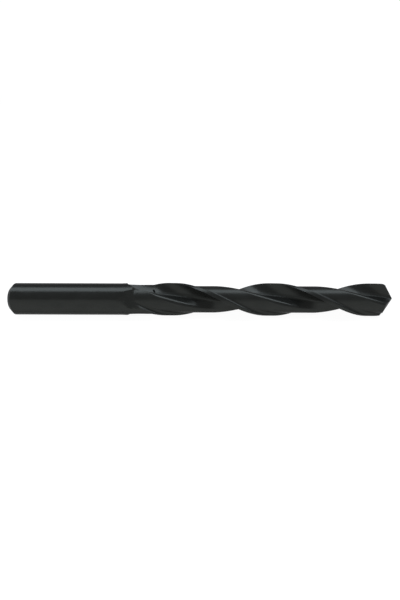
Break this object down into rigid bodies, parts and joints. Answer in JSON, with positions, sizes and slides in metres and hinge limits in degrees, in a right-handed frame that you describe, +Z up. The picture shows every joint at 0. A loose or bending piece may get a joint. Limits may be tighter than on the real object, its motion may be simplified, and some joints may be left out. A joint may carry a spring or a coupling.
{
  "type": "twist drill bit",
  "caption": "Straight-shank twist drill bit of black-oxide steel, with helical flutes, narrow margins, relieved lands and an angled point, for drilling metal.",
  "frame": {"origin": "centre of the flat end face of the shank", "axes": "+X along the drill's axis towards its point, +Z up with the drill lying on its side"},
  "size_m": [0.151, 0.013, 0.013],
  "materials": {
    "black_oxide_steel": "satin black oxide"
  },
  "bodies": {
    "root": {"twist_drill": "black_oxide_steel"}
  },
  "joints": []
}
